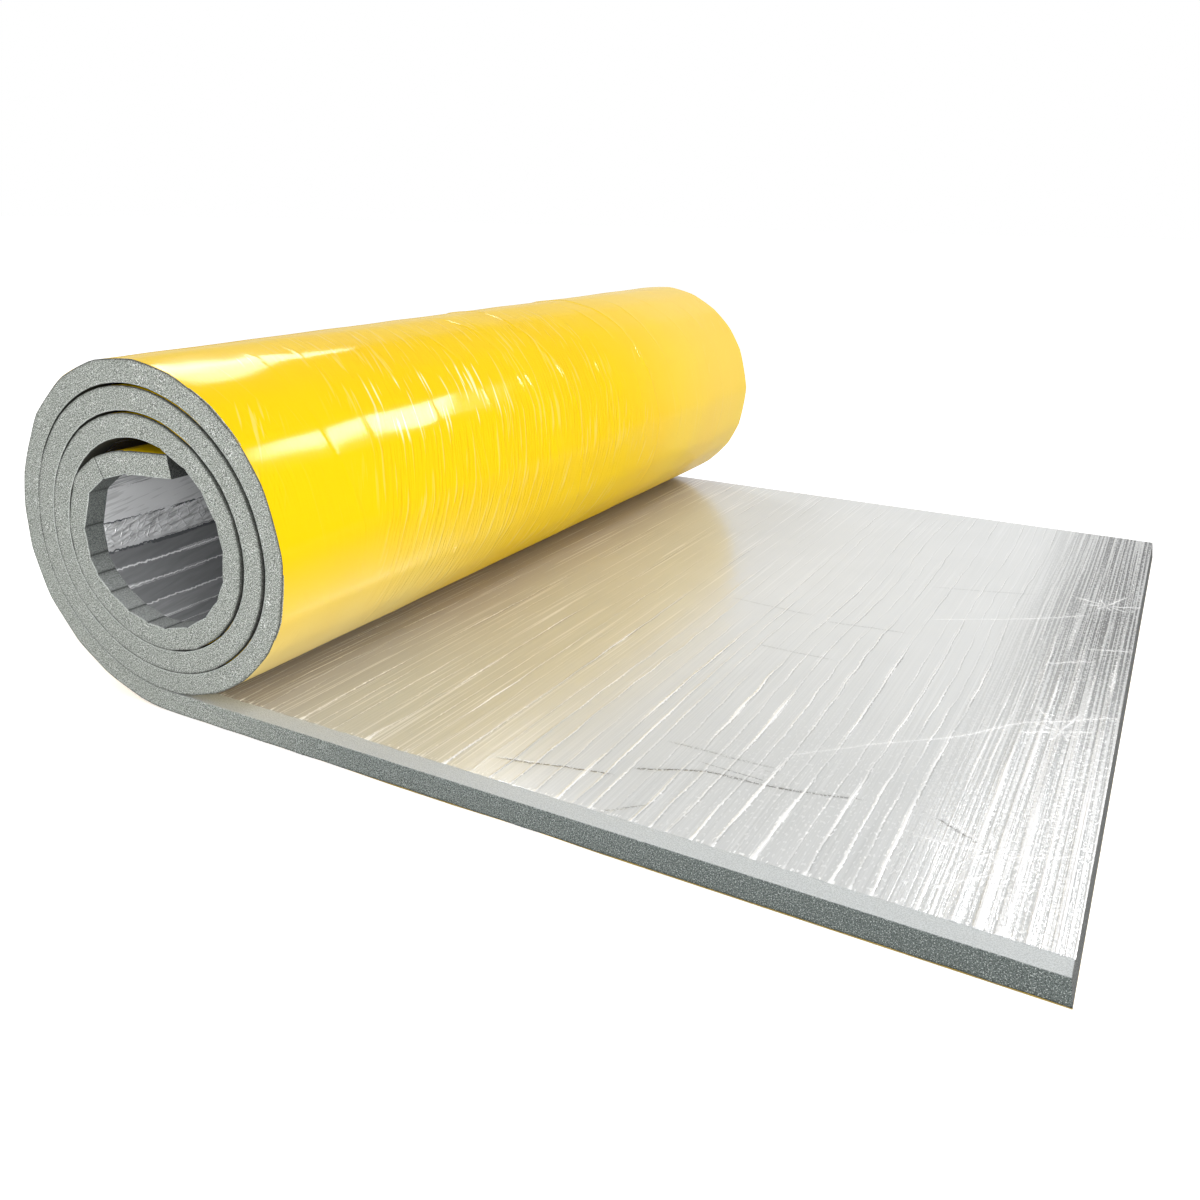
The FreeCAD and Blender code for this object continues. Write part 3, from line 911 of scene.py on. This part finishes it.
def liner_finish(piece):
    """Glossy yellow film: fine wrinkles round the roll in patches, oblique crinkles and a soft grain. Pale
    marks on the wrinkles are painted highlights, brightest in a lamp's glare; the lower part and far end
    are painted paler as reflections, and the edge that shows below the foam is painted darker as shade.
    """
    finish = Finish("yellow_film")
    where = finish.sheet()
    s = finish.part(where, 0)
    y = finish.part(where, 1)
    threads = finish.noise(finish.stretched(where, (7.0, 260.0, 1.0)), 1.0, 2.0, 0.6)
    slanted = finish.noise(finish.stretched(where, (16.0, 230.0, 1.0), 20.0), 1.0, 1.0, 0.5)
    patches = finish.step(finish.noise(finish.stretched(where, (6.0, 5.0, 1.0)), 1.0, 1.0), 0.42, 0.62)
    band = finish.within(y, NEAR + 0.16, NEAR + 0.56, 0.07)
    oblique = finish.noise(finish.stretched(where, (18.0, 230.0, 1.0), 28.0), 1.0, 1.0, 0.6)
    spots = finish.step(finish.noise(where, 9.0, 1.0), 0.56, 0.68)
    slack = finish.noise(finish.stretched(where, (10.0, 16.0, 1.0)), 1.0, 2.0)
    grain = finish.noise(where, 260.0, 2.0, 0.5)
    height = threads * (patches * 0.7 + 0.15) + slanted * band * 2.0 + oblique * spots * 1.2
    height = height + slack * 0.6 + grain * 0.03
    shade = finish.noise(finish.stretched(where, (5.0, 9.0, 1.0)), 1.0, 2.0)
    colour = finish.mix(shade, (0.93, 0.575, 0.0, 1), (0.93, 0.65, 0.0, 1))
    # Painted highlights on the wrinkles, brightest where a lamp's glare lies.
    glare = finish.within(s, 1.285, 1.325, 0.012) * finish.within(y, NEAR + 0.19, NEAR + 0.33, 0.05)
    stroke_highlights = finish.step(slanted, 0.60, 0.68) * (band * 0.3 + glare * 2.0)
    stroke_highlights = stroke_highlights + finish.step(oblique, 0.62, 0.70) * spots * 0.4
    stroke_highlights = stroke_highlights + finish.step(threads, 0.60, 0.75) * patches * 0.2
    colour = finish.mix((stroke_highlights * 0.5).math("MINIMUM", 1.0), colour, (1.0, 0.89, 0.45, 1))
    # A painted reflection of the pale foil and floor low on the roll, and a paler painted sheen towards the
    # far end.
    low = finish.within(s, 1.50, 1.62, 0.12) * finish.step(y, NEAR + 0.42, NEAR + 0.05)
    colour = finish.mix(low * (0.4 + shade * 0.35), colour, (1.0, 0.88, 0.52, 1))
    colour = finish.mix(finish.step(y, NEAR + 0.55, NEAR + 0.95) * 0.2, colour, (1.0, 0.86, 0.50, 1))
    # Painted shade along the liner's edge where it shows below the foam.
    colour = finish.mix(finish.step(y, NEAR + 0.0006, NEAR - 0.0002) * 0.75, colour, (0.40, 0.32, 0.19, 1))
    finish.put_on(piece, "liner", Base_Color=colour, Roughness=0.40, Specular_IOR_Level=0.0,
                  Coat_Weight=0.48, Coat_IOR=1.38, Coat_Roughness=0.12, Normal=finish.bump(height))


foam_finish(foam_core())
foil_finish(foil_laminate())
liner_finish(liner_film())


def add_camera():
    """The photograph's camera, found from the sheet's straight edges, with no shift."""
    frame_pixels = 1200
    focal_pixels = 1046.62
    data = bpy.data.cameras.new("camera")
    data.sensor_width = 36
    data.lens = data.sensor_width * focal_pixels / frame_pixels
    data.clip_start = 0.01
    camera = bpy.data.objects.new("camera", data)
    bpy.context.scene.collection.objects.link(camera)
    right = (0.87608435, 0.48182475, 0.01792005)
    down = (0.18071461, -0.29367581, -0.93866754)
    forward = (-0.44701057, 0.82559035, -0.34435755)
    turn = Matrix([[right[i], -down[i], -forward[i]] for i in range(3)]).to_4x4()
    stand = (0.44412, -1.05866, 0.42307)
    camera.matrix_world = Matrix.Translation(stand) @ turn
    bpy.context.scene.camera = camera


def add_floor():
    """A white floor, which keeps the shadow and shows white to the camera and in reflections."""
    half = 40.0
    mesh = bpy.data.meshes.new("floor")
    corners = [(-half, -half, 0), (half, -half, 0), (half, half, 0), (-half, half, 0)]
    mesh.from_pydata(corners, [], [(0, 1, 2, 3)])
    floor = bpy.data.objects.new("floor", mesh)
    floor.location.z = -0.4 * MM
    bpy.context.scene.collection.objects.link(floor)
    finish = Finish("white_floor")
    seen = finish.node("LightPath")
    finish.feed(finish.shader.inputs["Base Color"], (0.86, 0.86, 0.86, 1))
    finish.feed(finish.shader.inputs["Roughness"], 0.95)
    finish.feed(finish.shader.inputs["Specular IOR Level"], 0.0)
    finish.feed(finish.shader.inputs["Emission Color"], (1, 1, 1, 1))
    finish.feed(finish.shader.inputs["Emission Strength"], seen * 0.6)
    mesh.materials.append(finish.material)


def add_world():
    """Plain white for the camera. As light it is a pale backdrop behind and to the left, up to about 27
    degrees over the floor, and dimmer elsewhere, so that creases show in the foil."""
    world = bpy.data.worlds.new("studio")
    world.use_nodes = True
    studio = Nodes(world.node_tree)
    direction = studio.node("TexCoord", output=0)
    across, back, up = (studio.part(direction, axis) for axis in range(3))
    backdrop = studio.step(up, 0.52, 0.40) * studio.step(across, 0.08, -0.04) * studio.step(back, 0.0, 0.3)
    seen = studio.node("LightPath")
    level = (backdrop * 0.38 + 0.50) * (1 - seen) + seen
    background = studio.tree.nodes["Background"]
    studio.feed(background.inputs["Color"], (1, 1, 1, 1))
    studio.feed(background.inputs["Strength"], level)
    bpy.context.scene.world = world


def add_lamp(name, at, towards, size, power, lean=0.0):
    """A rectangular soft lamp that faces a place, leaned to the right in its own plane by an angle in
    degrees."""
    data = bpy.data.lights.new(name, "AREA")
    data.shape = "RECTANGLE"
    data.size, data.size_y = size
    data.energy = power
    lamp = bpy.data.objects.new(name, data)
    bpy.context.scene.collection.objects.link(lamp)
    away = Vector(at) - Vector(towards)
    facing = away.to_track_quat("Z", "Y").to_matrix().to_4x4() @ Matrix.Rotation(math.radians(lean), 4, "Z")
    lamp.matrix_world = Matrix.Translation(at) @ facing


add_camera()
add_floor()
add_world()
add_lamp("back_left", (-1.9, 1.6, 2.16), (-1.9, 0.0, 2.16), (1.25, 0.85), 36)
add_lamp("back_right", (0.9, 1.6, 1.75), (0.9, 0.0, 1.75), (0.34, 0.9), 28, lean=33)
add_lamp("front", (1.5, -2.5, 0.75), (-0.1, 0.0, 0.1), (2.0, 1.2), 41)
add_lamp("right", (2.4, -1.4, 1.8), (0.0, 0.0, 0.1), (1.6, 1.6), 22)
bpy.context.scene.view_settings.view_transform = "Standard"
